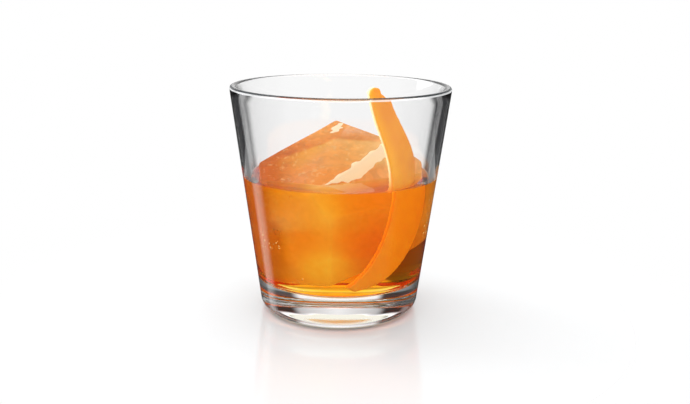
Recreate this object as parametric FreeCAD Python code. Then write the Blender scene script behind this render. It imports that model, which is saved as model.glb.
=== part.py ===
"""An old fashioned: a heavy tapered tumbler, the drink, one big block of ice and a strip of orange peel.

Millimetres, +Z up. The origin is the middle of the circle that the glass stands on, and -Y is the side
that the peel and the low slope of the ice face. Azimuths are degrees from -Y towards +X.
"""
import FreeCAD
import Part

import math
import os

V = FreeCAD.Vector

# The tumbler
GLASS_HEIGHT = 93.5
RIM_DIAMETER = 90.0
FOOT_DIAMETER = 65.2        # of the wall's cone at the table, before the heel is rounded
RIM_WALL = 2.4              # wall thickness at the rim
FLOOR_WALL = 3.8            # wall thickness at the inner floor
BASE_THICKNESS = 13.2       # table to inner floor
HEEL_RADIUS = 5.0           # outside, at the foot
CORNER_RADIUS = 5.0         # inside, where the wall meets the floor
PUNT_DIAMETER = 44.0        # hollow under the base
PUNT_DEPTH = 2.2
PUNT_LIP = 1.5              # rounding of the hollow's edge, the ring that the glass stands on
FLOOR_DISH = 0.8            # the inner floor is this much lower in the middle

# The drink
LEVEL = 57.0                # its surface above the table
DRINK_GAP = 0.2             # between the drink and what it touches

# The ice, one hand-cut block that floats and leans against the wall. Each facet is the azimuth and
# elevation of its outward normal, and its distance from the middle of the drink's surface in edges.
ICE_EDGE = 50.0
ICE_FACETS = {
    "top": (-18.4, 66.0, 0.193),
    "front_right": (30.8, 28.8, 0.293),
    "right_shoulder": (124.6, 55.6, 0.43),
    "back_left": (-136.7, 18.9, 0.456),
    "left_side": (-81.0, -9.0, 0.665),
    "front_lower": (-22.0, -14.0, 0.575),
    "peel_side": (36.0, -13.0, 0.46),
    "right_side": (100.0, -9.0, 0.7),
    "back_lower": (166.0, -15.0, 0.60),
    "underside": (150.0, -66.0, 0.62),
}
ICE_MELT = 2.2              # rounding of its edges
ICE_CLEARANCE = 0.6         # to the glass and the peel

# The orange peel, a long swath that follows the inside of the wall. Its outline is drawn on the plane
# that faces PEEL_AZIMUTH, as millimetres across and a share of the height from the inner floor to the rim.
PEEL_AZIMUTH = 38.0
PEEL_THICKNESS = 2.8
PEEL_CLEARANCE = 1.0        # to the wall, before the stand-off
PEEL_STAND_OFF = 4.5        # how far the swath is moved towards -X, so that its +X edge leaves the wall
PEEL_TIP = (-13.3, 1.042)
PEEL_SHOULDER = (-11.0, 1.016)
PEEL_INNER_EDGE = ((-14.9, 1.011), (-8.0, 0.803), (-0.8, 0.583), (-0.5, 0.421), (-5.6, 0.203), (-15.0, 0.058))
PEEL_OUTER_EDGE = ((-6.4, 0.973), (4.0, 0.8), (14.4, 0.616), (18.0, 0.433), (12.5, 0.217), (-4.1, 0.055))
PEEL_END = (-12.3, 0.032)


def outer_radius(z):
    """Radius of the outside of the wall at height z."""
    foot = FOOT_DIAMETER / 2
    return foot + (RIM_DIAMETER / 2 - foot) * z / GLASS_HEIGHT


def inner_radius(z):
    """Radius of the inside of the wall at height z: the wall thins evenly from floor to rim."""
    up = (z - BASE_THICKNESS) / (GLASS_HEIGHT - BASE_THICKNESS)
    return outer_radius(z) - FLOOR_WALL - (RIM_WALL - FLOOR_WALL) * up


def turned(points):
    """Solid of revolution about Z from the corners (radius, z) of half its section."""
    corners = [V(r, 0, z) for r, z in points]
    face = Part.Face(Part.makePolygon(corners + corners[:1]))
    return face.revolve(V(0, 0, 0), V(0, 0, 1), 360)


def ring_edges(solid, radius, z):
    """The solid's circular edges of one radius at one height."""
    tolerance = 0.01
    rings = []
    for edge in solid.Edges:
        if edge.Degenerated or not isinstance(edge.Curve, Part.Circle):
            continue
        curve = edge.Curve
        if abs(curve.Radius - radius) < tolerance and abs(curve.Center.z - z) < tolerance:
            rings.append(edge)
    return rings


def dish(radius, depth, top):
    """Ball whose cap of that radius and depth lies with its edge at height top, bulging down."""
    ball_radius = (radius ** 2 + depth ** 2) / (2 * depth)
    return Part.makeSphere(ball_radius, V(0, 0, top - depth + ball_radius))


def cavity(gap, top):
    """The room inside the glass up to a height, drawn in by a gap from the wall and the floor."""
    floor = BASE_THICKNESS + gap
    room = turned([(0, floor), (inner_radius(floor) - gap, floor), (inner_radius(top) - gap, top), (0, top)])
    rounding = CORNER_RADIUS - gap
    room = room.makeFillet(rounding, ring_edges(room, inner_radius(floor) - gap, floor))
    flat = inner_radius(floor) - CORNER_RADIUS
    below = Part.makeCylinder(flat, FLOOR_DISH + 1, V(0, 0, floor - FLOOR_DISH - 1))
    hollow = below.common(dish(flat, FLOOR_DISH, floor))
    return room.fuse(hollow).removeSplitter()


def make_glass():
    """Tumbler with a thick base, rounded heel and rim, and a shallow hollow underneath."""
    lip = RIM_WALL / 2
    shoulder = GLASS_HEIGHT - lip
    outside = V(outer_radius(shoulder), 0, shoulder)
    inside = V(inner_radius(shoulder), 0, shoulder)
    crest = V((outside.x + inside.x) / 2, 0, GLASS_HEIGHT)
    section = Part.Wire([
        Part.makeLine(V(0, 0, 0), V(outer_radius(0), 0, 0)),
        Part.makeLine(V(outer_radius(0), 0, 0), outside),
        Part.Arc(outside, crest, inside).toShape(),
        Part.makeLine(inside, V(0, 0, shoulder)),
        Part.makeLine(V(0, 0, shoulder), V(0, 0, 0)),
    ])
    body = Part.Face(section).revolve(V(0, 0, 0), V(0, 0, 1), 360)
    body = body.makeFillet(HEEL_RADIUS, ring_edges(body, outer_radius(0), 0))
    punt = PUNT_DIAMETER / 2
    ball_radius = (punt ** 2 + PUNT_DEPTH ** 2) / (2 * PUNT_DEPTH)
    body = body.cut(Part.makeSphere(ball_radius, V(0, 0, PUNT_DEPTH - ball_radius)))
    body = body.makeFillet(PUNT_LIP, ring_edges(body, punt, 0))
    return body.cut(cavity(0, shoulder))


def facing(azimuth, elevation=0.0):
    """Unit vector of an azimuth from -Y towards +X and an elevation."""
    a = math.radians(azimuth)
    e = math.radians(elevation)
    return V(math.sin(a) * math.cos(e), -math.cos(a) * math.cos(e), math.sin(e))


def make_peel(grow=0.0):
    """Strip of peel along the wall, grown all round by a clearance when it is used as a cutter."""
    room = GLASS_HEIGHT - BASE_THICKNESS
    top = BASE_THICKNESS + PEEL_TIP[1] * room + 5
    bottom = BASE_THICKNESS - 5
    outside = PEEL_CLEARANCE - grow
    inside = PEEL_CLEARANCE + PEEL_THICKNESS + grow
    shell = turned([
        (inner_radius(bottom) - inside, bottom),
        (inner_radius(bottom) - outside, bottom),
        (inner_radius(top) - outside, top),
        (inner_radius(top) - inside, top),
    ])
    shell.translate(V(-PEEL_STAND_OFF, 0, 0))
    across = facing(PEEL_AZIMUTH + 90)

    def at(point, aside=0.0, up=0.0):
        return across * (point[0] + aside) + V(0, 0, BASE_THICKNESS + point[1] * room + up)

    def edge_through(points, aside):
        curve = Part.BSplineCurve()
        curve.interpolate([at(point, aside) for point in points])
        return curve.toShape()

    inner_top = at(PEEL_INNER_EDGE[0], -grow)
    outer_top = at(PEEL_OUTER_EDGE[0], grow)
    shoulder = at(PEEL_SHOULDER, grow)
    end = at(PEEL_END, up=-grow)
    outline = Part.Wire([
        edge_through(PEEL_INNER_EDGE, -grow),
        Part.makeLine(at(PEEL_INNER_EDGE[-1], -grow), end),
        Part.makeLine(end, at(PEEL_OUTER_EDGE[-1], grow)),
        edge_through(PEEL_OUTER_EDGE[::-1], grow),
        Part.makeLine(outer_top, shoulder),
        Part.Arc(shoulder, at(PEEL_TIP, up=grow), inner_top).toShape(),
    ])
    swath = Part.Face(outline).extrude(facing(PEEL_AZIMUTH) * RIM_DIAMETER)
    return shell.common(swath)


def facet_cutter(azimuth, elevation, distance):
    """Block that takes away everything beyond a facet's plane."""
    reach = 4 * ICE_EDGE
    cutter = Part.makeBox(reach, reach, reach, V(-reach / 2, -reach / 2, 0))
    normal = facing(azimuth, elevation)
    turn = FreeCAD.Rotation(V(0, 0, 1), normal)
    cutter.Placement = FreeCAD.Placement(V(0, 0, LEVEL) + normal * distance, turn)
    return cutter


def make_ice(grow=0.0):
    """Block cut facet by facet, its edges melted round, kept off the glass and the peel."""
    reach = 2 * ICE_EDGE
    block = Part.makeBox(reach, reach, reach, V(-reach / 2, -reach / 2, LEVEL - reach / 2))
    for azimuth, elevation, share in ICE_FACETS.values():
        block = block.cut(facet_cutter(azimuth, elevation, share * ICE_EDGE + grow))
    block = block.makeFillet(ICE_MELT + grow, block.Edges)
    block = block.common(cavity(ICE_CLEARANCE - grow, GLASS_HEIGHT + ICE_EDGE))
    return block.cut(make_peel(ICE_CLEARANCE - grow))


def make_drink():
    """The drink up to its level, cut round the ice and the peel."""
    drink = cavity(DRINK_GAP, LEVEL)
    drink = drink.cut(make_ice(DRINK_GAP))
    return drink.cut(make_peel(DRINK_GAP))


def main():
    os.makedirs("parts", exist_ok=True)
    nodes = {
        "glass": make_glass(),
        "drink": make_drink(),
        "ice_block": make_ice(),
        "orange_peel": make_peel(),
    }
    for name, shape in nodes.items():
        box = shape.BoundBox
        extent = [round(v, 1) for v in (box.XMin, box.XMax, box.YMin, box.YMax, box.ZMin, box.ZMax)]
        volume = round(shape.Volume / 1000, 1)
        print(name, "solids", len(shape.Solids), "valid", shape.isValid(), "volume", volume, "cc, box", extent)
        shape.Solids[0].exportStep("parts/" + name + ".step")


main()
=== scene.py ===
"""An old fashioned in its tumbler: clear glass, amber drink, one big block of ice and a strip of orange peel.

Metres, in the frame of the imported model: +Z up, the glass stands on Z = 0, and the peel leans on its -Y side.
"""

import math
import random

import bmesh
import bpy
from bpy.props import FloatProperty, FloatVectorProperty, IntProperty, PointerProperty
from mathutils import Matrix, Vector, noise


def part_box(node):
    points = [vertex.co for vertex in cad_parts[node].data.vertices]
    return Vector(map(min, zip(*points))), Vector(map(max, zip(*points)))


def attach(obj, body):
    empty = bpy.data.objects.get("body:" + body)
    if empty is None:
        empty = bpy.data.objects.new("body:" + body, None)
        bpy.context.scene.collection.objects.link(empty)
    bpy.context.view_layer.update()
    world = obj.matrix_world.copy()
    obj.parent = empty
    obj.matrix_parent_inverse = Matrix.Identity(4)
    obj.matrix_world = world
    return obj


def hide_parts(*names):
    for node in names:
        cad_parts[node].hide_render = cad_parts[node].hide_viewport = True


bl_info = {
    "name": "Old fashioned cocktail",
    "version": (1, 0, 0),
    "blender": (4, 5, 0),
    "location": "3D View > Sidebar > Cocktail",
    "description": "Builds an old fashioned in its glass around the packed model",
    "category": "Add Mesh",
}

MM = 0.001
HAIR = 1e-6     # slack in comparisons of heights and radii

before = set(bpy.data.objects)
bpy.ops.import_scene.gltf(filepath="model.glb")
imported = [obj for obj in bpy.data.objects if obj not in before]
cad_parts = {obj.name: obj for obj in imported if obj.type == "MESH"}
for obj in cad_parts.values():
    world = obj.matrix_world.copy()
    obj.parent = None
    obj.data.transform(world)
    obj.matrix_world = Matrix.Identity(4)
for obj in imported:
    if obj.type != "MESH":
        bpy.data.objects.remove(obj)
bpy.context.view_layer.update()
RIM_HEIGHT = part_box("glass")[1][2]
DRINK_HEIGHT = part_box("drink")[1][2]


# ---------------------------------------------------------------- sizes and colours

class TumblerSettings(bpy.types.PropertyGroup):
    """Sizes of the glass."""

    height: FloatProperty(name="Height", description="Table to rim", default=RIM_HEIGHT, unit="LENGTH")
    rim_radius: FloatProperty(
        name="Rim radius", description="Outside of the rim", default=45.0 * MM, unit="LENGTH")
    foot_radius: FloatProperty(
        name="Foot radius", description="Outside of the wall's cone at the table", default=32.6 * MM,
        unit="LENGTH")
    rim_wall: FloatProperty(
        name="Rim wall", description="Thickness at the rim", default=2.4 * MM, unit="LENGTH")
    floor_wall: FloatProperty(
        name="Floor wall", description="Thickness at the inner floor", default=3.8 * MM, unit="LENGTH")
    base_thickness: FloatProperty(
        name="Base", description="Table to inner floor", default=13.2 * MM, unit="LENGTH")
    floor_dish: FloatProperty(
        name="Floor dish", description="How much lower the floor is in the middle", default=0.8 * MM,
        unit="LENGTH")
    heel_radius: FloatProperty(
        name="Heel radius", description="Rounding outside the foot", default=5.0 * MM, unit="LENGTH")
    corner_radius: FloatProperty(
        name="Corner radius", description="Rounding inside, wall to floor", default=5.0 * MM, unit="LENGTH")
    punt_radius: FloatProperty(
        name="Punt radius", description="Hollow under the base", default=22.0 * MM, unit="LENGTH")
    punt_depth: FloatProperty(
        name="Punt depth", description="Depth of that hollow", default=2.2 * MM, unit="LENGTH")
    swirl: FloatProperty(
        name="Swirl", description="Depth of the rings in that hollow", default=0.04 * MM, unit="LENGTH")
    swirl_spacing: FloatProperty(
        name="Swirl spacing", description="Between the rings", default=7.0 * MM, unit="LENGTH")
    segments: IntProperty(name="Segments", description="Faces round the glass", default=256, min=32)
    ior: FloatProperty(name="Refraction", description="Of the glass", default=1.5, min=1.0)


class DrinkSettings(bpy.types.PropertyGroup):
    """Shape and colour of the drink."""

    level: FloatProperty(name="Level", description="Table to surface", default=DRINK_HEIGHT, unit="LENGTH")
    into_wall: FloatProperty(
        name="Into the wall", description="How far it reaches into the glass", default=0.15 * MM,
        unit="LENGTH")
    climb: FloatProperty(
        name="Climb", description="How high its edge climbs the wall", default=0.5 * MM, unit="LENGTH")
    climb_reach: FloatProperty(
        name="Climb reach", description="How far in from the wall the climb fades", default=1.0 * MM,
        unit="LENGTH")
    colour: FloatVectorProperty(
        name="Colour", description="Light left after one absorption length", subtype="COLOR",
        default=(0.992, 0.838, 0.14))
    density: FloatProperty(name="Density", description="Absorption in 1/m", default=205.0, min=0.0)
    ior: FloatProperty(name="Refraction", description="Of the drink", default=1.36, min=1.0)


class IceSettings(bpy.types.PropertyGroup):
    """Surface of the block of ice."""

    voxel: FloatProperty(
        name="Mesh size", description="Length of the surface's faces", default=0.6 * MM, unit="LENGTH")
    # The haze colours below are painted light: the drink's light in the cloudy ice, darker and redder low,
    # paler high.
    lit_haze_low: FloatVectorProperty(
        name="Haze above drink, low", description="Colour of the cloudy ice just above the drink",
        subtype="COLOR", default=(0.84, 0.29, 0.045))
    lit_haze_high: FloatVectorProperty(
        name="Haze above drink, high", description="Colour of the cloudy ice near the peak",
        subtype="COLOR", default=(0.97, 0.46, 0.12))
    lit_deep_low: FloatVectorProperty(
        name="Haze in drink, low", description="Colour of the cloudy ice low in the drink",
        subtype="COLOR", default=(0.97, 0.39, 0.03))
    lit_deep_high: FloatVectorProperty(
        name="Haze in drink, high", description="Colour of the cloudy ice just under the surface",
        subtype="COLOR", default=(1.0, 0.54, 0.07))
    # Painted light and shade: the pale colour at +X and the dark colour at -X stand in for how light falls
    # through the block; the pale colour also tints the ice's streaks.
    pale: FloatVectorProperty(
        name="Pale ice", description="Colour of the paler side", subtype="COLOR", default=(1.0, 0.64, 0.28))
    lit_side_share: FloatProperty(name="Pale side", description="Share of the pale colour at +X", default=0.6)
    dark: FloatVectorProperty(
        name="Dark ice", description="Colour of the darker side", subtype="COLOR", default=(0.62, 0.13, 0.02))
    shaded_side_share: FloatProperty(name="Dark side", description="Share of the dark colour at -X", default=0.75)
    glow: FloatProperty(name="Glow", description="Share of gathered light on the front", default=1.0)
    glow_colour: FloatVectorProperty(
        name="Glow colour", description="Of the gathered light", subtype="COLOR", default=(1.0, 1.0, 0.85))
    chip_size: FloatProperty(
        name="Chip", description="Half the length of the chip under the peak", default=2.8 * MM,
        unit="LENGTH")
    wave: FloatProperty(
        name="Wave", description="Depth of the melted waves", default=0.45 * MM, unit="LENGTH")
    wave_length: FloatProperty(
        name="Wave length", description="Distance between the waves", default=13.0 * MM, unit="LENGTH")
    ripple: FloatProperty(
        name="Ripple", description="Depth of the fine ripples", default=0.1 * MM, unit="LENGTH")
    ripple_length: FloatProperty(
        name="Ripple length", description="Distance between the ripples", default=4.0 * MM, unit="LENGTH")
    # The frosted bevel is a painted highlight: a whitish band where the overhead light would glance off the
    # ice.
    bevel_start: FloatVectorProperty(
        name="Bevel start", description="Lower end of the frosted bevel", subtype="XYZ", unit="LENGTH",
        default=(-6 * MM, -23 * MM, 57 * MM))
    bevel_end: FloatVectorProperty(
        name="Bevel end", description="Upper end of the frosted bevel", subtype="XYZ", unit="LENGTH",
        default=(19.6 * MM, 1 * MM, 70.7 * MM))
    bevel_width: FloatProperty(
        name="Bevel width", description="At its upper end", default=5.4 * MM, unit="LENGTH")
    # Colour of that painted highlight, on the bevel and on the chip under the peak.
    frost: FloatVectorProperty(
        name="Frost", description="Colour of the frosted bevel", subtype="COLOR", default=(1.0, 0.88, 0.64))
    ior: FloatProperty(name="Refraction", description="Of the ice", default=1.31, min=1.0)


class PeelSettings(bpy.types.PropertyGroup):
    """Surface of the orange peel."""

    voxel: FloatProperty(
        name="Mesh size", description="Length of its faces", default=0.42 * MM, unit="LENGTH")
    clearance: FloatProperty(
        name="Clearance", description="Outside of the swath to the wall", default=1.0 * MM, unit="LENGTH")
    stand_off: FloatProperty(
        name="Stand-off", description="How far the swath is moved towards -X", default=4.5 * MM,
        unit="LENGTH")
    thickness: FloatProperty(name="Thickness", description="Of the peel", default=2.8 * MM, unit="LENGTH")
    pore_depth: FloatProperty(
        name="Pore depth", description="Of the zest's dimples", default=0.09 * MM, unit="LENGTH")
    pore_spacing: FloatProperty(
        name="Pore spacing", description="Between the zest's dimples", default=1.5 * MM, unit="LENGTH")
    zest: FloatVectorProperty(
        name="Zest", description="Outside colour", subtype="COLOR", default=(0.76, 0.26, 0.02))
    ripe: FloatVectorProperty(
        name="Ripe edge", description="Zest along the edge at -X", subtype="COLOR",
        default=(0.84, 0.365, 0.014))
    soaked: FloatVectorProperty(
        name="Soaked pith", description="Pith in the drink", subtype="COLOR", default=(0.96, 0.41, 0.06))
    pith: FloatVectorProperty(
        name="Pith", description="Inside colour", subtype="COLOR", default=(0.93, 0.80, 0.42))


class StageSettings(bpy.types.PropertyGroup):
    """Where the camera stands and how it looks at the drink."""

    camera_distance: FloatProperty(
        name="Camera distance", description="In front of the glass's axis", default=352.4 * MM, unit="LENGTH")
    camera_height: FloatProperty(
        name="Camera height", description="Above the table", default=133.15 * MM, unit="LENGTH")
    camera_aside: FloatProperty(
        name="Camera aside", description="To the right of the axis", default=2.2 * MM, unit="LENGTH")
    camera_pitch: FloatProperty(
        name="Camera pitch", description="Down from level", default=math.radians(14.11), subtype="ANGLE")
    camera_roll: FloatProperty(
        name="Camera roll", description="About its line of sight", default=math.radians(0.64),
        subtype="ANGLE")
    lens: FloatProperty(name="Lens", description="Focal length on a 36 mm sensor", default=45.29)


# ---------------------------------------------------------------- helpers

def settings(name):
    """One of this file's setting groups on the scene."""
    return getattr(bpy.context.scene, "cocktail_" + name)


def add_object(name, mesh, smooth=True):
    """Object of a mesh, linked to the scene."""
    if smooth:
        mesh.shade_smooth()
    piece = bpy.data.objects.new(name, mesh)
    bpy.context.scene.collection.objects.link(piece)
    return piece


def add_part(name, mesh, slot, *nodes):
    """A piece of the drink: it rides on the root body and stands for CAD nodes."""
    piece = add_object(name, mesh)
    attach(piece, "root")
    if nodes:
        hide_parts(*nodes)
    return piece


def arc(centre, radius, start, end, steps):
    """Points (r, z) of an arc in the section plane, angles in degrees from +r towards +z."""
    points = []
    for i in range(steps + 1):
        a = math.radians(start + (end - start) * i / steps)
        points.append((centre[0] + radius * math.cos(a), centre[1] + radius * math.sin(a)))
    return points


def run(start, end, steps):
    """Points of a straight run without its first one."""
    return [(start[0] + (end[0] - start[0]) * i / steps, start[1] + (end[1] - start[1]) * i / steps)
            for i in range(1, steps + 1)]


def lathe(name, section, segments, slot_of):
    """Closed mesh turned about Z from a section that starts and ends on the axis. slot_of gives the material
    slot of the faces between two neighbouring points of the section."""
    mesh = bpy.data.meshes.new(name)
    bm = bmesh.new()
    rings = []
    for r, z in section:
        if r < 1e-7:
            rings.append([bm.verts.new((0, 0, z))])
            continue
        ring = []
        for i in range(segments):
            a = 2 * math.pi * i / segments
            ring.append(bm.verts.new((r * math.cos(a), r * math.sin(a), z)))
        rings.append(ring)
    for k in range(len(rings) - 1):
        low, high = rings[k], rings[k + 1]
        slot = slot_of(section[k], section[k + 1])
        for i in range(segments):
            j = (i + 1) % segments
            corners = [low[i % len(low)], low[j % len(low)], high[j % len(high)], high[i % len(high)]]
            face = bm.faces.new(list(dict.fromkeys(corners)))
            face.material_index = slot
    bmesh.ops.recalc_face_normals(bm, faces=bm.faces)
    bm.to_mesh(mesh)
    bm.free()
    return mesh


def evaluated(piece):
    """Mesh of a piece with its modifiers applied; the piece is deleted."""
    graph = bpy.context.evaluated_depsgraph_get()
    mesh = bpy.data.meshes.new_from_object(piece.evaluated_get(graph))
    bpy.data.objects.remove(piece)
    return mesh


def remeshed(node, voxel, smoothing):
    """Even, smoothed mesh of a CAD node."""
    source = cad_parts[node]
    mesh = source.data.copy()
    mesh.transform(source.matrix_world)
    mesh.materials.clear()
    piece = add_object(node + "_work", mesh, smooth=False)
    remesh = piece.modifiers.new("even", "REMESH")
    remesh.mode = "VOXEL"
    remesh.voxel_size = voxel
    smooth = piece.modifiers.new("smooth", "SMOOTH")
    smooth.factor = 0.5
    smooth.iterations = smoothing
    return evaluated(piece)


def move_along_normals(mesh, distance_of):
    """Moves each vertex along its normal by a distance worked out from its place and normal."""
    moves = [distance_of(v.co, v.normal) for v in mesh.vertices]
    normals = [v.normal.copy() for v in mesh.vertices]
    for vertex, normal, move in zip(mesh.vertices, normals, moves):
        vertex.co += normal * move
    mesh.update()


def store(mesh, name, value_of):
    """Point attribute worked out from each vertex's place and normal."""
    attribute = mesh.attributes.new(name, "FLOAT", "POINT")
    for i, v in enumerate(mesh.vertices):
        attribute.data[i].value = value_of(v.co, v.normal)


class Nodes:
    """Short way to build a node tree."""

    def __init__(self, owner, keep=False):
        owner.use_nodes = True
        self.tree = owner.node_tree
        if not keep:
            self.tree.nodes.clear()

    def first(self, kind):
        """The tree's first node of a kind."""
        return next(node for node in self.tree.nodes if node.type == kind)

    def feed(self, node, inputs):
        """Links or sets a node's inputs, by name or index."""
        for name, value in inputs.items():
            if isinstance(value, bpy.types.NodeSocket):
                self.tree.links.new(value, node.inputs[name])
            else:
                node.inputs[name].default_value = value

    def add(self, kind, inputs=None, **fields):
        """New node with its fields and inputs set."""
        node = self.tree.nodes.new(kind)
        for name, value in fields.items():
            setattr(node, name, value)
        self.feed(node, inputs or {})
        return node

    def math(self, operation, a, b=0.0, clamp=False):
        """Result of a sum on one or two values."""
        return self.add("ShaderNodeMath", {0: a, 1: b}, operation=operation, use_clamp=clamp).outputs[0]

    def ramp(self, value, low, high, to_low=0.0, to_high=1.0, smooth=True):
        """Change from to_low to to_high as the value goes from low to high."""
        node = self.add("ShaderNodeMapRange", {
            "Value": value, "From Min": low, "From Max": high, "To Min": to_low, "To Max": to_high})
        node.interpolation_type = "SMOOTHSTEP" if smooth else "LINEAR"
        return node.outputs[0]

    def blend(self, factor, a, b):
        """Colour a for a factor of 0 and b for 1."""
        node = self.add("ShaderNodeMix", {0: factor, 6: a, 7: b}, data_type="RGBA")
        return node.outputs[2]

    def mix(self, factor, a, b):
        """Shader a for a factor of 0 and b for 1."""
        return self.add("ShaderNodeMixShader", {0: factor, 1: a, 2: b}).outputs[0]


def clear_material(name, ior, shade=(0.97, 0.97, 0.97), roughness=0.0, volume=None):
    """See-through material. Lamps' rays and diffuse rays pass straight, tinted by shade at each surface."""
    material = bpy.data.materials.new(name)
    n = Nodes(material)
    shader = n.add("ShaderNodeBsdfPrincipled", {
        "Base Color": (1, 1, 1, 1), "Roughness": roughness, "IOR": ior, "Transmission Weight": 1.0})
    straight = n.add("ShaderNodeBsdfTransparent", {"Color": (*shade, 1)})
    path = n.add("ShaderNodeLightPath")
    unseen = n.math("MAXIMUM", path.outputs["Is Shadow Ray"], path.outputs["Is Diffuse Ray"])
    surface = n.mix(unseen, shader.outputs[0], straight.outputs[0])
    out = n.add("ShaderNodeOutputMaterial", {"Surface": surface})
    if volume:
        colour, density = volume
        absorb = n.add("ShaderNodeVolumeAbsorption", {"Color": (*colour, 1), "Density": density})
        n.tree.links.new(absorb.outputs[0], out.inputs["Volume"])
    return material


def grey_from_outside(material, share):
    """Gives lamps' and diffuse rays that reach the outer wall from outside a plain grey for part of them,
    so that the glass's shadow on the table stays neutral."""
    n = Nodes(material, keep=True)
    straight = n.first("BSDF_TRANSPARENT")
    target = straight.outputs[0].links[0].to_socket
    geometry = n.add("ShaderNodeNewGeometry")
    place = n.add("ShaderNodeVectorMath", {
        0: geometry.outputs["Position"], 1: (1, 1, 0)}, operation="MULTIPLY")
    lean = n.add("ShaderNodeVectorMath", {0: geometry.outputs["Normal"], 1: place.outputs[0]},
                 operation="DOT_PRODUCT").outputs["Value"]
    outer = n.math("GREATER_THAN", lean, 0.001)
    outside = n.math("SUBTRACT", outer, geometry.outputs["Backfacing"], clamp=True)
    grey = n.add("ShaderNodeBsdfDiffuse", {"Color": (0.40, 0.40, 0.41, 1)})
    mixed = n.mix(n.math("MULTIPLY", outside, share), straight.outputs[0], grey.outputs[0])
    n.tree.links.new(mixed, target)


# ---------------------------------------------------------------- the glass

GLASS_SHADE = (0.95, 0.95, 0.955)       # what each surface of the glass leaves of a lamp's light


def painted_light_material(name, ior, share, colour, front=None, aside=None):
    """Clear glass that is plain diffuse colour for a share of the light; that colour paints light and shade on
    it. When front and aside are given it is so only at Y under front and X within aside."""
    material = clear_material(name, ior, shade=GLASS_SHADE)
    n = Nodes(material, keep=True)
    out = n.first("OUTPUT_MATERIAL")
    clear = out.inputs["Surface"].links[0].from_socket
    dull = n.add("ShaderNodeBsdfDiffuse", {"Color": (*colour, 1)})
    if front is not None:
        place = n.add("ShaderNodeSeparateXYZ", {"Vector": n.add("ShaderNodeTexCoord").outputs["Object"]})
        near = n.ramp(place.outputs["Y"], front - 2 * MM, front + 2 * MM, share, 0.0)
        middle = n.ramp(n.math("ABSOLUTE", place.outputs["X"]), aside - 3 * MM, aside + 3 * MM, 1.0, 0.0)
        share = n.math("MULTIPLY", near, middle)
    n.tree.links.new(n.mix(share, clear, dull.outputs[0]), out.inputs["Surface"])
    return material


def outer_radius(z):
    """Outside of the wall at height z."""
    s = settings("tumbler")
    return s.foot_radius + (s.rim_radius - s.foot_radius) * z / s.height


def inner_radius(z):
    """Inside of the wall at height z."""
    s = settings("tumbler")
    up = (z - s.base_thickness) / (s.height - s.base_thickness)
    return outer_radius(z) - s.floor_wall - (s.rim_wall - s.floor_wall) * up


def wall_slope(radius_of):
    """Lean of a wall from upright, in degrees."""
    return math.degrees(math.atan2(radius_of(0.05) - radius_of(0.0), 0.05))


def inside_section(gap):
    """Section of the glass's inside from the middle of the floor to the wall, pushed outwards by gap."""
    s = settings("tumbler")
    floor = s.base_thickness - gap
    lean = wall_slope(inner_radius)
    radius = s.corner_radius
    # centre of the corner's arc: a radius above the floor and a radius inside the leaning wall
    centre_z = floor + radius
    centre_r = inner_radius(centre_z) + gap - radius / math.cos(math.radians(lean))
    steps = 12
    points = []
    for i in range(steps + 1):
        r = centre_r * i / steps
        points.append((r, floor - s.floor_dish * (1 - (r / centre_r) ** 2)))
    return points + arc((centre_r, centre_z), radius, -90, -lean, 14)[1:]


PUNT_LIP = 1.2 * MM     # rounding of the hollow's edge under the base


def glass_section():
    """Closed section of the glass: punt, heel, wall, rim, inside, floor."""
    s = settings("tumbler")
    ball = (s.punt_radius ** 2 + s.punt_depth ** 2) / (2 * s.punt_depth)
    lip = PUNT_LIP
    points = []
    steps = 42
    for i in range(steps + 1):
        r = (s.punt_radius - lip) * i / steps
        swirl = s.swirl * (1 - math.cos(2 * math.pi * r / s.swirl_spacing)) / 2
        points.append((r, s.punt_depth - ball + math.sqrt(ball ** 2 - r ** 2) - swirl))
    last = points[-1]
    points += [(last[0] + lip * 0.6, last[1] * 0.35), (s.punt_radius + lip * 0.5, last[1] * 0.06)]
    points.append((s.punt_radius + lip * 1.3, 0.0))
    lean = wall_slope(outer_radius)
    heel = s.heel_radius
    centre_r = outer_radius(heel) - heel / math.cos(math.radians(lean))
    points += arc((centre_r, heel), heel, -90, -lean, 16)
    lip_radius = s.rim_wall / 2
    shoulder = s.height - lip_radius
    points += run(points[-1], (outer_radius(shoulder), shoulder), 30)
    middle = (outer_radius(shoulder) + inner_radius(shoulder)) / 2
    half = (outer_radius(shoulder) - inner_radius(shoulder)) / 2
    points += [(middle + half * math.cos(a), shoulder + lip_radius * math.sin(a))
               for a in [math.pi * i / 12 for i in range(1, 12)]]
    points.append((inner_radius(shoulder), shoulder))
    inside = inside_section(0.0)
    level = settings("drink").level
    points += run(points[-1], (inner_radius(level), level), 14)
    points += run(points[-1], inside[-1], 16)
    points += inside[-2::-1]
    return points


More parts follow.
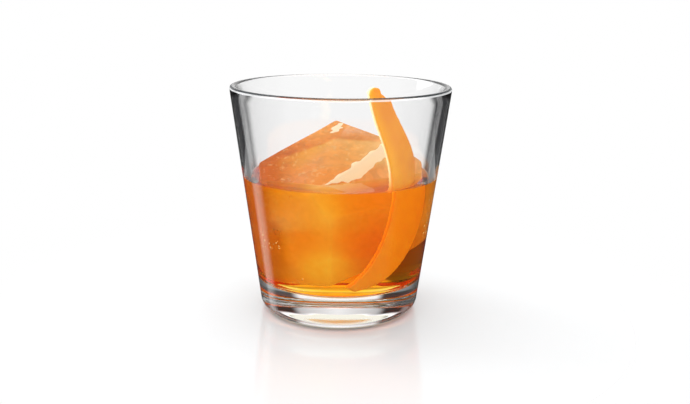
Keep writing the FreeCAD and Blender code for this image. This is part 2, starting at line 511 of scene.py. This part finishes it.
class COCKTAIL_OT_glass(bpy.types.Operator):
    """Build the tumbler"""

    bl_idname = "cocktail.glass"
    bl_label = "Tumbler"

    def execute(self, context):
        s = settings("tumbler")
        drink = settings("drink")

        def slot_of(a, b):
            """0 for bare glass, 1 where the drink touches it, 2 and 4 for the rim's outside, low and high,
            and 3 for the foot."""
            lip = s.rim_wall / 2
            if s.height - lip - HAIR < a[1] and b[0] > s.rim_radius - lip:
                return 2 if b[1] < s.height - 0.4 * lip else 4
            top = max(a[1], b[1])
            reach = max(a[0], b[0])
            if top < s.punt_depth + HAIR and reach < s.foot_radius - 2.5 * MM:
                return 3
            inside = top <= drink.level + HAIR and a[1] > s.base_thickness - s.floor_dish - HAIR
            return 1 if inside and reach <= inner_radius(top) + 10 * HAIR else 0

        mesh = lathe("tumbler", glass_section(), s.segments, slot_of)
        add_part("tumbler", mesh, "glass", "glass")
        clear = clear_material("clear_glass", s.ior, shade=GLASS_SHADE)
        grey_from_outside(clear, 0.8)
        mesh.materials.append(clear)
        mesh.materials.append(clear_material(
            "clear_glass_under_drink", s.ior / drink.ior, shade=(1.0, 1.0, 1.0)))
        # Painted highlight: a whitish band on the rim's lower outside.
        mesh.materials.append(painted_light_material("clear_glass_rim", s.ior, 0.45, (0.92, 0.93, 0.94)))
        # Painted light: a pale grey patch on the front of the foot, where light shows through the base.
        mesh.materials.append(painted_light_material(
            "clear_glass_foot", s.ior, 0.6, (0.66, 0.68, 0.69), front=-13 * MM, aside=16 * MM))
        # Painted shade: a dark line along the rim's top outside.
        mesh.materials.append(painted_light_material("clear_glass_lip", s.ior, 0.6, (0.05, 0.055, 0.06)))
        return {"FINISHED"}


# ---------------------------------------------------------------- the ice

def melted_ice():
    """The block with its edges and facets softened by melting."""
    s = settings("ice")
    mesh = remeshed("ice_block", s.voxel, 4)

    def sink(place, normal):
        slow = noise.noise(place / s.wave_length)
        fast = noise.noise(place / s.ripple_length + Vector((7, 3, 5)))
        return -s.wave * (0.5 + 0.5 * slow) - s.ripple * (0.5 + 0.5 * fast)

    move_along_normals(mesh, sink)
    return mesh


def smooth_step(low, high, value):
    """0 below low, 1 above high, smooth between."""
    t = min(1.0, max(0.0, (value - low) / (high - low)))
    return t * t * (3 - 2 * t)


BEVEL_FACING = Vector((0.449, -0.753, 0.482))   # normal of the facet that the bevel lies on


def bevel_highlight(place, normal):
    """1 on the bevel's painted highlight, a whitish band that widens from its lower to its upper end, and 0
    elsewhere.
    """
    s = settings("ice")
    start = Vector(s.bevel_start)
    span = Vector(s.bevel_end) - start
    length = span.length
    along = span / length
    below = along.cross(BEVEL_FACING).normalized()
    t = (place - start).dot(along) / length
    aside = (place - start).dot(below) + 1.3 * MM * noise.noise(place / (3.2 * MM))
    width = 0.5 * MM + s.bevel_width * smooth_step(-0.05, 0.45, t)
    inside = smooth_step(-0.7 * MM, 0.1 * MM, aside)
    outside = smooth_step(width - 0.8 * MM, width + 0.2 * MM, aside)
    front = smooth_step(0.0, 0.4, normal.dot(BEVEL_FACING))
    return inside * (1 - outside) * front * smooth_step(-0.03, 0.06, t)


def chip_highlight(peak):
    """1 on the ragged chip just under the block's peak, on its front, where a highlight is painted."""
    s = settings("ice")

    def value(place, normal):
        away = place - peak
        along = (away.x - 0.3 * MM) / s.chip_size
        across = (away.z + 2.3 * MM - 0.4 * away.x) / (0.42 * s.chip_size)
        ragged = 0.5 * noise.noise(place / (1.6 * MM))
        inside = 1 - smooth_step(0.8, 1.1, math.hypot(along, across) + ragged)
        return inside * smooth_step(0.0, 0.3, -normal.y)

    return value


def glow(place):
    """How much of the light that the glass gathers falls on a place of the block's front: a patch high up
    and a wider one near the bottom."""
    s = settings("ice")
    if place.y > 0:
        return 0.0
    high = math.hypot((place.x + 4.5 * MM) / (7.0 * MM), (place.z - 48 * MM) / (11.0 * MM))
    low = math.hypot((place.x + 3.0 * MM) / (14.0 * MM), (place.z - 23 * MM) / (10.0 * MM))
    return min(1.0, s.glow * (0.7 * math.exp(-high ** 2) + 1.2 * math.exp(-low ** 2)))


def ice_material(name, ior, haze, mottle, roughness, low, high, low_z, high_z):
    """Clear ice, cloudy for a share haze of the light, in a colour that goes from low to high between two
    heights and is broken up by mottle. That colour is painted light, the drink's light in the ice, and it is
    painted paler towards +X and darker towards -X. A painted highlight lies on the bevel and on the chip under
    the peak, and its front glows where the glass gathers light."""
    s = settings("ice")
    drink = settings("drink")
    material = clear_material(name, ior, roughness=roughness)
    n = Nodes(material, keep=True)
    out = n.first("OUTPUT_MATERIAL")
    clear = out.inputs["Surface"].links[0].from_socket
    place = n.add("ShaderNodeTexCoord").outputs["Object"]
    split = n.add("ShaderNodeSeparateXYZ", {"Vector": place})
    broad = n.add("ShaderNodeTexNoise", {"Vector": place, "Scale": 60.0, "Detail": 4.0}).outputs["Fac"]
    fine = n.add("ShaderNodeTexNoise", {
        "Vector": place, "Scale": 240.0, "Detail": 5.0, "Distortion": 1.2}).outputs["Fac"]
    # Painted highlight on the bevel and on the chip under the peak.
    frost = n.add("ShaderNodeAttribute", attribute_name="frost").outputs["Fac"]
    frost = n.ramp(n.math("ADD", frost, n.math("MULTIPLY", n.math("SUBTRACT", fine, 0.5), 0.9)), 0.35, 0.75)
    lit = n.add("ShaderNodeAttribute", attribute_name="glow").outputs["Fac"]
    specks = n.ramp(broad, 0.35, 0.65, 0.85, 1.1)
    lit = n.math("MULTIPLY", lit, specks, clamp=True)
    share = n.ramp(broad, 0.35, 0.65, 0.8 * haze, 1.2 * haze)
    foot = n.ramp(split.outputs["Z"], drink.level + 0.003, drink.level + 0.010, 0.85, 0.0)
    foot = n.math("MULTIPLY", foot, n.ramp(split.outputs["Z"], drink.level - 0.001, drink.level, 0.0, 1.0))
    share = n.math("MAXIMUM", share, foot)
    share = n.math("MAXIMUM", share, n.math("MULTIPLY", frost, 0.95))
    share = n.math("ADD", share, n.math("MULTIPLY", lit, n.math("SUBTRACT", 1.0, share)), clamp=True)
    wobble = n.math("MULTIPLY", n.math("SUBTRACT", broad, 0.5), 0.02)
    # Painted light: the haze colour, darker and redder low and paler high, stands in for the drink's light in
    # the ice.
    colour = n.blend(n.ramp(n.math("ADD", split.outputs["Z"], wobble), low_z, high_z), (*low, 1), (*high, 1))
    # Painted light towards +X and painted shade towards -X.
    pale = n.ramp(n.math("ADD", split.outputs["X"], wobble), 0.004, 0.022, 0.0, s.lit_side_share)
    colour = n.blend(pale, colour, (*s.pale, 1))
    shade = n.ramp(n.math("ADD", split.outputs["X"], wobble), -0.024, -0.014, s.shaded_side_share, 0.0)
    colour = n.blend(shade, colour, (*s.dark, 1))
    streaks = n.add("ShaderNodeTexNoise", {
        "Vector": place, "Scale": 420.0, "Detail": 3.0, "Distortion": 0.6}).outputs["Fac"]
    colour = n.blend(n.ramp(streaks, 0.56, 0.70, 0.0, 3.0 * mottle), colour, (*s.pale, 1))
    dull = n.ramp(fine, 0.35, 0.6, 1.0 - mottle, 1.0)
    colour = n.add("ShaderNodeVectorMath", {0: colour, "Scale": dull}, operation="SCALE").outputs[0]
    colour = n.blend(lit, colour, (*s.glow_colour, 1))
    colour = n.blend(frost, colour, (*s.frost, 1))
    through = n.add("ShaderNodeBsdfTranslucent", {"Color": colour})
    back = n.add("ShaderNodeBsdfDiffuse", {"Color": colour})
    cloud = n.mix(0.5, through.outputs[0], back.outputs[0])
    n.tree.links.new(n.mix(share, clear, cloud), out.inputs["Surface"])
    return material


class COCKTAIL_OT_ice(bpy.types.Operator):
    """Build the block of ice"""

    bl_idname = "cocktail.ice"
    bl_label = "Ice"

    def execute(self, context):
        s = settings("ice")
        drink = settings("drink")
        mesh = melted_ice()
        bm = bmesh.new()
        bm.from_mesh(mesh)
        bmesh.ops.bisect_plane(
            bm, geom=bm.verts[:] + bm.edges[:] + bm.faces[:], dist=1e-7,
            plane_co=(0, 0, drink.level), plane_no=(0, 0, 1))
        for face in bm.faces:
            face.material_index = 1 if face.calc_center_median().z < drink.level else 0
        bm.to_mesh(mesh)
        bm.free()
        peak = max((v.co for v in mesh.vertices), key=lambda place: place.z).copy()
        chip = chip_highlight(peak)
        # Mask of the painted highlight on the bevel and the chip.
        store(mesh, "frost", lambda place, normal: max(bevel_highlight(place, normal), chip(place, normal)))
        store(mesh, "glow", lambda place, normal: glow(place) if place.z < drink.level else 0.0)
        add_part("ice", mesh, "ice", "ice_block")
        # Both materials paint the drink's light into the ice's haze colour.
        mesh.materials.append(ice_material(
            "ice_above_drink", s.ior, haze=0.6, mottle=0.16, roughness=0.06,
            low=tuple(s.lit_haze_low), high=tuple(s.lit_haze_high), low_z=0.060, high_z=0.074))
        mesh.materials.append(ice_material(
            "ice_under_drink", s.ior / drink.ior, haze=0.55, mottle=0.04, roughness=0.0,
            low=tuple(s.lit_deep_low), high=tuple(s.lit_deep_high), low_z=0.034, high_z=0.056))
        return {"FINISHED"}


# ---------------------------------------------------------------- the drink

DRINK_INTO_ICE = 0.12 * MM      # how far the drink reaches into the ice


def drink_material():
    """The drink's free surface bends light. Where it touches glass or ice, those pieces do the bending."""
    s = settings("drink")
    material = clear_material("drink", s.ior, shade=(1.0, 1.0, 1.0), volume=(tuple(s.colour), s.density))
    n = Nodes(material, keep=True)
    out = n.first("OUTPUT_MATERIAL")
    free = out.inputs["Surface"].links[0].from_socket
    opened = n.add("ShaderNodeAttribute", attribute_name="open").outputs["Fac"]
    straight = n.add("ShaderNodeBsdfTransparent")
    n.tree.links.new(n.mix(opened, straight.outputs[0], free), out.inputs["Surface"])
    return material


class COCKTAIL_OT_drink(bpy.types.Operator):
    """Build the drink, cut round the ice"""

    bl_idname = "cocktail.drink"
    bl_label = "Drink"

    def execute(self, context):
        s = settings("drink")
        gap = s.into_wall
        section = inside_section(gap)
        section += run(section[-1], (inner_radius(s.level) + gap, s.level), 20)
        top = s.level + s.climb
        edge = inner_radius(top) + gap
        section.append((edge, top))
        reach = 9 * s.climb_reach
        steps = 24
        for i in range(1, steps + 1):
            inward = reach * (i / steps) ** 2
            section.append((edge - inward, s.level + s.climb * math.exp(-inward / s.climb_reach)))
        section += run(section[-1], (0, s.level), 12)

        def surface(a, b):
            """0 for the free surface, 1 for the sides and the bottom."""
            return 0 if max(a[0], b[0]) < edge - HAIR and min(a[1], b[1]) >= s.level - HAIR else 1

        mesh = lathe("drink", section, settings("tumbler").segments, surface)
        mesh.materials.append(bpy.data.materials.new("open_surface"))
        mesh.materials.append(bpy.data.materials.new("touching"))
        body = add_object("drink_work", mesh)
        hole = bpy.data.objects["ice"].data.copy()
        hole.materials.clear()
        hole.materials.append(mesh.materials[1])
        for polygon in hole.polygons:
            polygon.material_index = 0
        move_along_normals(hole, lambda place, normal: -DRINK_INTO_ICE)
        cutter = add_object("drink_hole", hole)
        cut = body.modifiers.new("hole", "BOOLEAN")
        cut.operation = "DIFFERENCE"
        cut.solver = "EXACT"
        cut.material_mode = "TRANSFER"
        cut.object = cutter
        mesh = evaluated(body)
        bpy.data.objects.remove(cutter)
        opened = mesh.attributes.new("open", "FLOAT", "FACE")
        for polygon in mesh.polygons:
            name = mesh.materials[polygon.material_index].name
            opened.data[polygon.index].value = 1.0 if name.startswith("open") else 0.0
            polygon.material_index = 0
        mesh.materials.clear()
        add_part("drink", mesh, "drink", "drink")
        mesh.materials.append(drink_material())
        return {"FINISHED"}


# ---------------------------------------------------------------- bubbles

BUBBLE_GROUPS = (
    # how many, turn from -Y towards +X in degrees, height above the table, largest radius
    (18, (-64, -42), (0.030, 0.038), 0.5 * MM),
    (22, (64, 80), (0.034, 0.050), 0.55 * MM),
    (10, (-35, 30), (0.016, 0.024), 0.35 * MM),
)


class COCKTAIL_OT_bubbles(bpy.types.Operator):
    """Build the small bubbles that cling to the inside of the wall"""

    bl_idname = "cocktail.bubbles"
    bl_label = "Bubbles"

    def execute(self, context):
        pick = random.Random(7)
        bm = bmesh.new()
        for count, turns, heights, largest in BUBBLE_GROUPS:
            for _ in range(count):
                size = largest * (0.35 + 0.65 * pick.random() ** 2)
                z = pick.uniform(*heights)
                turn = math.radians(pick.uniform(*turns))
                r = inner_radius(z) - size - 0.1 * MM
                place = Matrix.Translation((r * math.sin(turn), -r * math.cos(turn), z))
                bmesh.ops.create_icosphere(bm, subdivisions=2, radius=size, matrix=place)
        mesh = bpy.data.meshes.new("bubbles")
        bm.to_mesh(mesh)
        bm.free()
        add_part("bubbles", mesh, "drink")
        ior = 1.0 / settings("drink").ior
        # Painted highlight: a pale share that makes each bubble show.
        mesh.materials.append(painted_light_material("bubble", ior, 0.4, (1.0, 0.72, 0.34)))
        return {"FINISHED"}


# ---------------------------------------------------------------- the orange peel

def peel_material():
    """Waxy zest outside, matt pale pith inside, told apart by the stored depth. The pith in the drink has
    taken up its colour, and the zest is riper towards one edge."""
    s = settings("peel")
    drink = settings("drink")
    material = bpy.data.materials.new("orange_peel")
    n = Nodes(material)
    place = n.add("ShaderNodeTexCoord").outputs["Object"]
    depth = n.add("ShaderNodeAttribute", attribute_name="depth").outputs["Fac"]
    fine = n.add("ShaderNodeTexNoise", {"Vector": place, "Scale": 900.0, "Detail": 3.0}).outputs["Fac"]
    broad = n.add("ShaderNodeTexNoise", {"Vector": place, "Scale": 120.0, "Detail": 2.0}).outputs["Fac"]
    across = n.add("ShaderNodeAttribute", attribute_name="across").outputs["Fac"]
    height = n.add("ShaderNodeSeparateXYZ", {"Vector": place}).outputs["Z"]
    dry = n.ramp(height, drink.level - 0.002, drink.level + 0.008)
    edge = n.math("ADD", depth, n.math("MULTIPLY", n.math("SUBTRACT", fine, 0.5), 0.12))
    inner = n.ramp(edge, 0.30, 0.62)
    zest = n.blend(n.ramp(broad, 0.35, 0.65), (*s.zest, 1), (0.78, 0.285, 0.02, 1))
    ripe = n.math("MULTIPLY", n.ramp(across, 0.02, 0.42, 0.85, 0.0), dry)
    zest = n.blend(ripe, zest, (*s.ripe, 1))
    pith = n.blend(n.ramp(fine, 0.3, 0.7), (*s.pith, 1), (0.96, 0.86, 0.52, 1))
    pith = n.blend(dry, (*s.soaked, 1), pith)
    colour = n.blend(inner, zest, pith)
    bump = n.add("ShaderNodeBump", {"Height": fine, "Strength": 0.25, "Distance": 0.0002})
    shader = n.add("ShaderNodeBsdfPrincipled", {
        "Base Color": colour, "Roughness": n.ramp(inner, 0, 1, 0.45, 0.8), "Normal": bump.outputs[0],
        "Specular IOR Level": 0.3,
        "Subsurface Weight": 0.25, "Subsurface Radius": (1.0, 0.35, 0.08), "Subsurface Scale": 0.0012})
    n.add("ShaderNodeOutputMaterial", {"Surface": shader.outputs[0]})
    return material


def across_strip(mesh, stand_off):
    """Function of place and normal: 0 at the strip's edge at -X, 1 at its other edge, at the same height."""
    step = 3 * MM
    ends = {}

    def turn(place):
        return math.atan2(place.x + stand_off, -place.y)

    for v in mesh.vertices:
        row = round(v.co.z / step)
        low, high = ends.get(row, (math.pi, -math.pi))
        ends[row] = (min(low, turn(v.co)), max(high, turn(v.co)))

    def value(place, normal):
        at = place.z / step
        below = math.floor(at)
        first = ends.get(below) or ends[round(at)]
        second = ends.get(below + 1) or ends[round(at)]
        low = first[0] + (second[0] - first[0]) * (at - below)
        high = first[1] + (second[1] - first[1]) * (at - below)
        return (turn(place) - low) / max(1e-3, high - low)

    return value


class COCKTAIL_OT_peel(bpy.types.Operator):
    """Build the strip of orange peel"""

    bl_idname = "cocktail.peel"
    bl_label = "Orange peel"

    def execute(self, context):
        s = settings("peel")
        mesh = remeshed("orange_peel", s.voxel, 5)

        def depth(place, normal):
            """0 at the zest's surface, 1 at the pith's."""
            radius = math.hypot(place.x + s.stand_off, place.y)
            return (inner_radius(place.z) - radius - s.clearance) / s.thickness

        def pores(place, normal):
            """Shallow lumps on the pith, round dimples on the zest."""
            if depth(place, normal) > 0.3:
                return -0.12 * MM * (0.5 + 0.5 * noise.noise(place / (1.8 * MM)))
            near = noise.voronoi(place / s.pore_spacing)[0][0]
            return -s.pore_depth * max(0.0, 1 - 2.2 * near)

        move_along_normals(mesh, pores)
        store(mesh, "depth", depth)
        store(mesh, "across", across_strip(mesh, s.stand_off))
        add_part("orange_peel", mesh, "peel", "orange_peel")
        mesh.materials.append(peel_material())
        return {"FINISHED"}


# ---------------------------------------------------------------- stage

def floor_material():
    """Pale table that fades into the backdrop, sooner for rays that the glass bends or mirrors. A painted
    shadow, darker and bluish, lies under the glass, and bent rays meet painted shade to the left and right of
    the foot's middle."""
    material = bpy.data.materials.new("pale_floor")
    n = Nodes(material)
    place = n.add("ShaderNodeTexCoord").outputs["Object"]
    away = n.add("ShaderNodeVectorMath", {0: place}, operation="LENGTH").outputs["Value"]
    # Painted shadow: darker and bluish under the glass.
    colour = n.blend(n.ramp(away, 0.027, 0.033), (0.26, 0.36, 0.37, 1), (0.60, 0.605, 0.61, 1))
    path = n.add("ShaderNodeLightPath")
    # Painted shade that only bent rays see, left and right of the foot's middle.
    across = n.add("ShaderNodeSeparateXYZ", {"Vector": place}).outputs["X"]
    left = n.ramp(across, -0.018, -0.012, 1.0, 0.0)
    right = n.ramp(across, 0.010, 0.015, 0.0, 1.0)
    dark = n.math("MAXIMUM", left, right)
    painted_shadow_through_base = n.math("MULTIPLY", path.outputs["Is Transmission Ray"], n.math("MULTIPLY", dark, 0.8))
    colour = n.blend(painted_shadow_through_base, colour, (0.05, 0.045, 0.04, 1))
    shader = n.add("ShaderNodeBsdfPrincipled", {
        "Base Color": colour, "Roughness": 0.12, "Specular IOR Level": 0.5})
    bent = n.math("MAXIMUM", path.outputs["Is Transmission Ray"], path.outputs["Is Glossy Ray"])
    passing = n.math("MULTIPLY", bent, n.ramp(away, 0.031, 0.036))
    passing = n.math("MAXIMUM", passing, n.ramp(away, 0.075, 0.16))
    through = n.add("ShaderNodeBsdfTransparent")
    surface = n.mix(passing, shader.outputs[0], through.outputs[0])
    n.add("ShaderNodeOutputMaterial", {"Surface": surface})
    return material


def flag_material(name, inner, outer):
    """Black card whose inner edge is feathered between two distances from the middle plane."""
    material = bpy.data.materials.new(name)
    n = Nodes(material)
    place = n.add("ShaderNodeTexCoord").outputs["Object"]
    aside = n.math("ABSOLUTE", n.add("ShaderNodeSeparateXYZ", {"Vector": place}).outputs["X"])
    black = n.add("ShaderNodeBsdfDiffuse", {"Color": (0.03, 0.03, 0.032, 1)})
    through = n.add("ShaderNodeBsdfTransparent")
    surface = n.mix(n.ramp(aside, inner, outer), through.outputs[0], black.outputs[0])
    n.add("ShaderNodeOutputMaterial", {"Surface": surface})
    return material


def add_flags(name, inner, outer, reach, low, high):
    """Pair of black cards, left and right, that only light bent by the glass meets: it darkens the glass's
    edges. low and high are the (y, z) of the cards' two long edges."""
    mesh = bpy.data.meshes.new(name)
    corners = []
    for side in (-1, 1):
        corners += [(side * inner, *low), (side * reach, *low), (side * reach, *high), (side * inner, *high)]
    mesh.from_pydata(corners, [], [(0, 1, 2, 3), (4, 5, 6, 7)])
    piece = add_object(name, mesh, smooth=False)
    mesh.materials.append(flag_material(name, inner, outer))
    piece.visible_camera = False
    piece.visible_shadow = False
    piece.visible_diffuse = False
    piece.visible_glossy = False


PLAIN_LIGHT = 1.5       # the world's strength for diffuse light; the camera sees it at 1


def backdrop_world():
    """White for the camera. Light bent by the glass sees a white panel behind, darker sides, and white above.
    Light off its surface sees the panel too, and a bright strip at its left."""
    world = bpy.data.worlds.new("backdrop")
    bpy.context.scene.world = world
    n = Nodes(world)
    way = n.add("ShaderNodeTexCoord").outputs["Generated"]
    split = n.add("ShaderNodeSeparateXYZ", {"Vector": way})
    up = split.outputs["Z"]
    turn = n.math("ARCTAN2", split.outputs["X"], split.outputs["Y"])
    angle = n.math("ABSOLUTE", turn)

    def side(low, high, first, second):
        """Changes from first to second between two turns, in degrees to the right of straight back."""
        return n.ramp(turn, math.radians(low), math.radians(high), first, second)

    def either(factor, first, second):
        """Second for a factor of 1, first for 0."""
        return n.math("ADD", first, n.math("MULTIPLY", factor, n.math("SUBTRACT", second, first)))

    # by how steeply a ray leaves: down to the table, nearly level, thrown up by the base, and up
    down = n.math("MINIMUM", side(-23, -17, 0.24, 1.0), side(17, 24, 1.0, 0.28))
    level = n.math("MINIMUM", side(-23, -17, 0.04, 1.0), side(17, 24, 1.0, 0.08))
    raised = n.math("MINIMUM", side(-25, -18, 0.05, 1.0), side(17, 24, 1.0, 0.05))
    raised = n.math("MULTIPLY", raised, n.ramp(angle, 0.0, math.radians(20), 0.92, 0.5, smooth=False))
    raised = n.math("MAXIMUM", raised, n.ramp(angle, math.radians(36), math.radians(46), 0.0, 0.25))
    panel = either(n.ramp(up, -0.14, -0.09), down, level)
    panel = either(n.ramp(up, 0.18, 0.26), panel, raised)
    front = n.ramp(angle, math.radians(95), math.radians(115), 0.0, 0.5)
    ceiling = n.math("MINIMUM", side(-105, -92, 0.1, 1.5), side(80, 95, 1.5, 0.6))
    bent = either(n.ramp(up, 0.48, 0.62), n.math("MAXIMUM", panel, front), ceiling)
    # off the table the white panel shows, off the walls, whose light goes down, only the strip does
    mirror = n.ramp(angle, math.radians(30), math.radians(45), 1.0, 0.05)
    mirror = n.math("MULTIPLY", mirror, n.ramp(up, -0.06, 0.02))
    mirror = n.math("MAXIMUM", n.math("MAXIMUM", mirror, 0.04), n.math("MULTIPLY", front, 0.3))
    strip = n.math("MULTIPLY", side(-78, -66, 0.0, 1.6), side(-60, -49, 1.0, 0.0))
    mirror = either(n.ramp(up, 0.45, 0.62), n.math("ADD", mirror, strip), 1.0)
    path = n.add("ShaderNodeLightPath")
    strength = n.math("MAXIMUM", path.outputs["Is Camera Ray"], path.outputs["Is Diffuse Ray"])
    strength = n.math("MULTIPLY", strength, either(path.outputs["Is Diffuse Ray"], 1.0, PLAIN_LIGHT))
    strength = either(path.outputs["Is Glossy Ray"], strength, mirror)
    strength = either(path.outputs["Is Transmission Ray"], strength, bent)
    background = n.add("ShaderNodeBackground", {"Color": (1, 1, 1, 1), "Strength": strength})
    n.add("ShaderNodeOutputWorld", {"Surface": background.outputs[0]})


def add_lamp(name, size, place, aim, power):
    """Soft rectangular lamp that faces a point."""
    lamp = bpy.data.lights.new(name, "AREA")
    lamp.shape = "RECTANGLE"
    lamp.size, lamp.size_y = size
    lamp.energy = power
    piece = bpy.data.objects.new(name, lamp)
    bpy.context.scene.collection.objects.link(piece)
    piece.location = place
    piece.rotation_euler = (Vector(aim) - Vector(place)).to_track_quat("-Z", "Y").to_euler()
    piece.visible_camera = False
    piece.visible_transmission = False


class COCKTAIL_OT_stage(bpy.types.Operator):
    """Set the floor, the light and the camera"""

    bl_idname = "cocktail.stage"
    bl_label = "Stage"

    def execute(self, context):
        s = settings("stage")
        mesh = bpy.data.meshes.new("floor")
        reach = 3.0
        mesh.from_pydata([(-reach, -reach, 0), (reach, -reach, 0), (reach, reach, 0), (-reach, reach, 0)],
                         [], [(0, 1, 2, 3)])
        floor = add_object("floor", mesh, smooth=False)
        floor.location.z = -0.1 * MM
        mesh.materials.append(floor_material())
        add_flags("flags", inner=0.054, outer=0.064, reach=0.40, low=(0.08, 0.032), high=(0.08, 0.105))
        backdrop_world()
        add_lamp("top_box", (0.9, 0.9), (0.1, 0.1, 1.1), (0, 0, 0.03), 3.0)
        add_lamp("left_box", (0.36, 0.8), (-0.54, 0.25, 0.35), (0, 0, 0.05), 2.2)

        camera = bpy.data.cameras.new("camera")
        camera.sensor_width = 36.0
        camera.lens = s.lens
        camera.clip_start = 0.01
        piece = bpy.data.objects.new("camera", camera)
        context.scene.collection.objects.link(piece)
        piece.matrix_world = (
            Matrix.Translation((s.camera_aside, -s.camera_distance, s.camera_height))
            @ Matrix.Rotation(math.radians(90) - s.camera_pitch, 4, "X")
            @ Matrix.Rotation(s.camera_roll, 4, "Z"))
        context.scene.camera = piece
        context.scene.view_settings.view_transform = "Standard"
        cycles = context.scene.cycles
        cycles.max_bounces = 28
        cycles.transmission_bounces = 28
        cycles.transparent_max_bounces = 32
        cycles.glossy_bounces = 8
        cycles.diffuse_bounces = 4
        return {"FINISHED"}


# ---------------------------------------------------------------- add-on

class COCKTAIL_PT_panel(bpy.types.Panel):
    """Lists the steps that build the drink"""

    bl_idname = "COCKTAIL_PT_panel"
    bl_label = "Old fashioned"
    bl_space_type = "VIEW_3D"
    bl_region_type = "UI"
    bl_category = "Cocktail"

    def draw(self, context):
        for operator in OPERATORS:
            self.layout.operator(operator.bl_idname)
        for name in GROUPS:
            group = settings(name)
            box = self.layout.box()
            box.label(text=name.capitalize())
            for field in group.__annotations__:
                box.prop(group, field)


OPERATORS = (
    COCKTAIL_OT_glass,
    COCKTAIL_OT_ice,
    COCKTAIL_OT_drink,
    COCKTAIL_OT_bubbles,
    COCKTAIL_OT_peel,
    COCKTAIL_OT_stage,
)
GROUPS = {
    "tumbler": TumblerSettings,
    "drink": DrinkSettings,
    "ice": IceSettings,
    "peel": PeelSettings,
    "stage": StageSettings,
}


def register():
    """Adds the classes, and the settings to the scene."""
    for group in GROUPS.values():
        bpy.utils.register_class(group)
    for operator in OPERATORS + (COCKTAIL_PT_panel,):
        bpy.utils.register_class(operator)
    for name, group in GROUPS.items():
        setattr(bpy.types.Scene, "cocktail_" + name, PointerProperty(type=group))


def unregister():
    """Takes them away again."""
    for name in GROUPS:
        delattr(bpy.types.Scene, "cocktail_" + name)
    for operator in OPERATORS + (COCKTAIL_PT_panel,):
        bpy.utils.unregister_class(operator)
    for group in GROUPS.values():
        bpy.utils.unregister_class(group)


def main():
    """Builds everything."""
    register()
    bpy.ops.cocktail.glass()
    bpy.ops.cocktail.ice()
    bpy.ops.cocktail.drink()
    bpy.ops.cocktail.bubbles()
    bpy.ops.cocktail.peel()
    bpy.ops.cocktail.stage()


if __name__ == "__main__":
    main()
